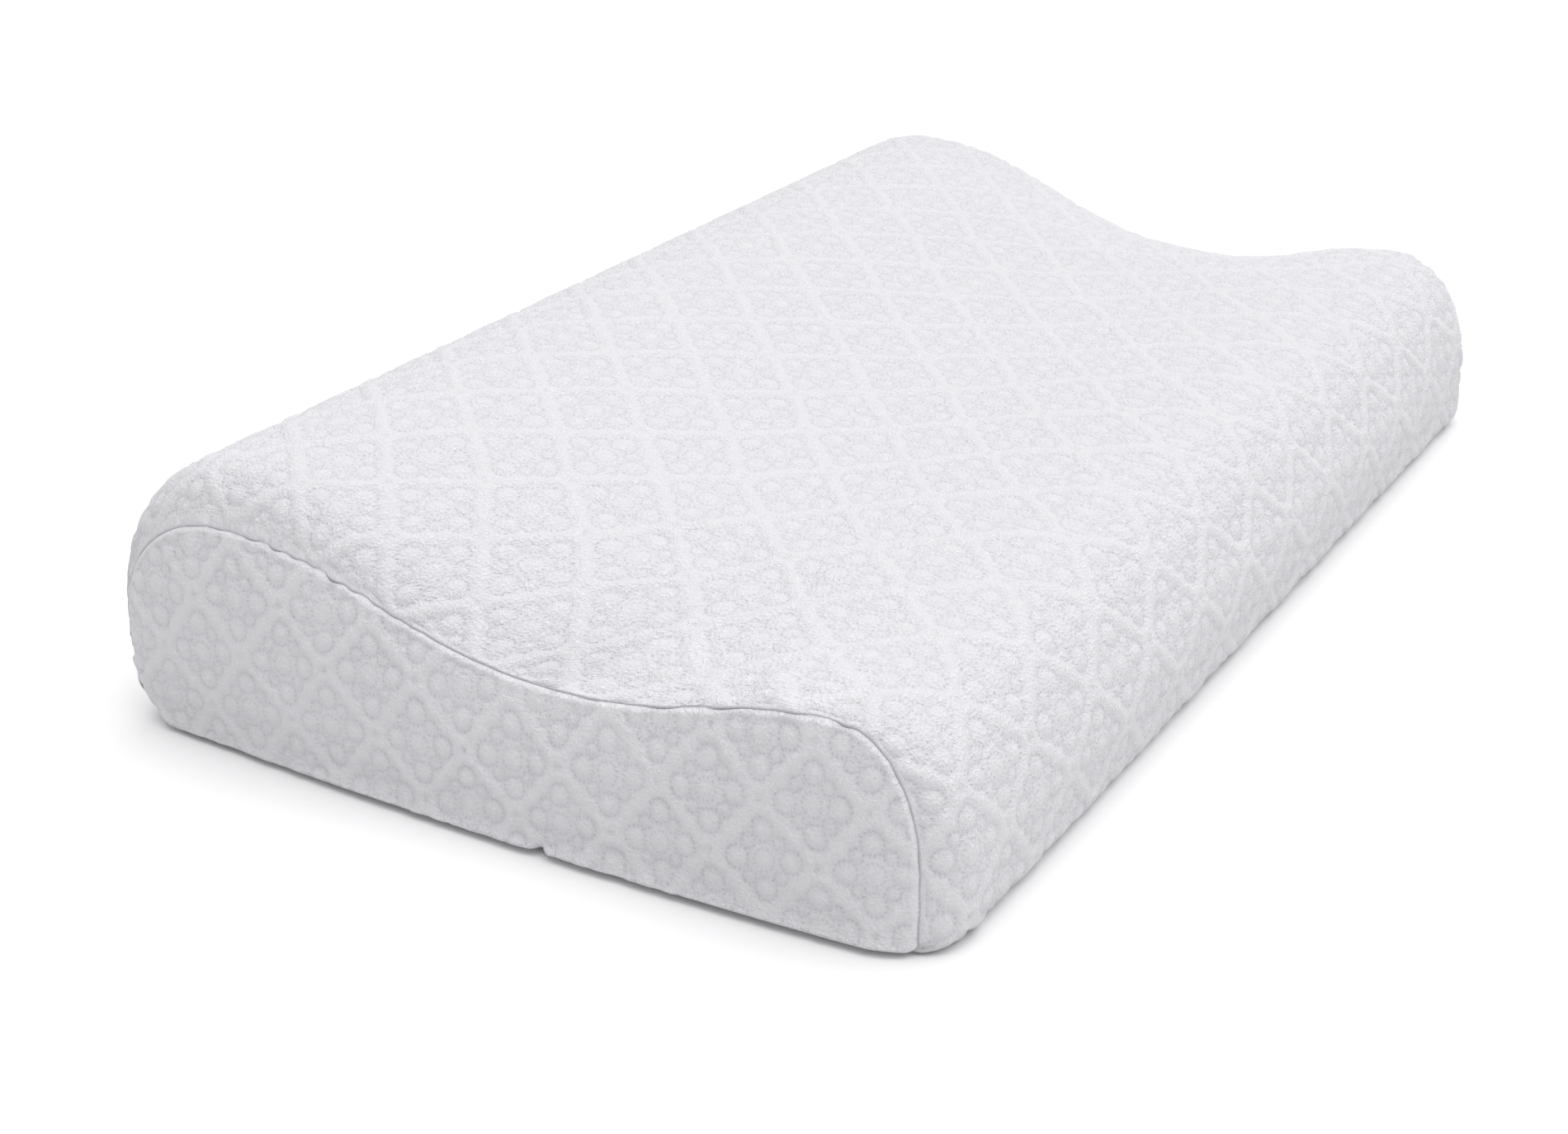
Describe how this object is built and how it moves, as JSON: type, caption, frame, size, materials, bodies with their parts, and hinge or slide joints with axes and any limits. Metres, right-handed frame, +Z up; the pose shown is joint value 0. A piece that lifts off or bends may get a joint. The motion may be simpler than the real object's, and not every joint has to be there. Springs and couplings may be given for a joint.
{
  "type": "bed pillow",
  "caption": "Contour bed pillow: wave-shaped foam core with a high and a low neck roll, in a thin liner and a zipped quilted knit cover.",
  "frame": {"origin": "middle of the underside, on the surface that the pillow rests on", "axes": "+X along the pillow, +Y across it from the low neck roll to the high one, +Z up"},
  "size_m": [0.61, 0.365, 0.114],
  "materials": {
    "quilted_knit": "matt white quilted jacquard knit with a raised diamond lattice",
    "liner_knit": "thin white stretch knit",
    "memory_foam": "pale open-cell viscoelastic foam",
    "sewing_thread": "white polyester sewing thread",
    "zip_tape": "white woven tape",
    "zip_coil": "white nylon coil",
    "zip_metal": "nickel-plated zinc",
    "label_ribbon": "blank white satin ribbon"
  },
  "bodies": {
    "pillow": {"wrap_panel": "quilted_knit", "end_panel_left": "quilted_knit", "end_panel_right": "quilted_knit", "end_seam_left": "sewing_thread", "end_seam_right": "sewing_thread", "closing_seam_left": "sewing_thread", "closing_seam_right": "sewing_thread", "care_label": "label_ribbon", "liner_sleeve": "liner_knit", "liner_end_left": "liner_knit", "liner_end_right": "liner_knit", "liner_seam_left": "sewing_thread", "liner_seam_right": "sewing_thread", "foam_core": "memory_foam", "zip_tape_front": "zip_tape", "zip_tape_back": "zip_tape", "zip_coil_front": "zip_coil", "zip_coil_back": "zip_coil", "zip_stitching_front": "sewing_thread", "zip_stitching_back": "sewing_thread", "zip_top_stops": "zip_metal", "zip_bottom_stop": "zip_metal"},
    "slider": {"zip_slider_body": "zip_metal", "zip_slider_crown": "zip_metal"},
    "pull_tab": {"zip_pull_tab": "zip_metal"}
  },
  "joints": [
    {"name": "zip_slide", "type": "slide", "parent": "pillow", "child": "slider", "axis": [1, 0, 0], "range_m": [0, 0.449]},
    {"name": "pull_tab_hinge", "type": "hinge", "parent": "slider", "child": "pull_tab", "pos_m": [-0.2245, -0.0225, 0.0045], "axis": [0, 1, 0], "range_deg": [0, 180]}
  ]
}
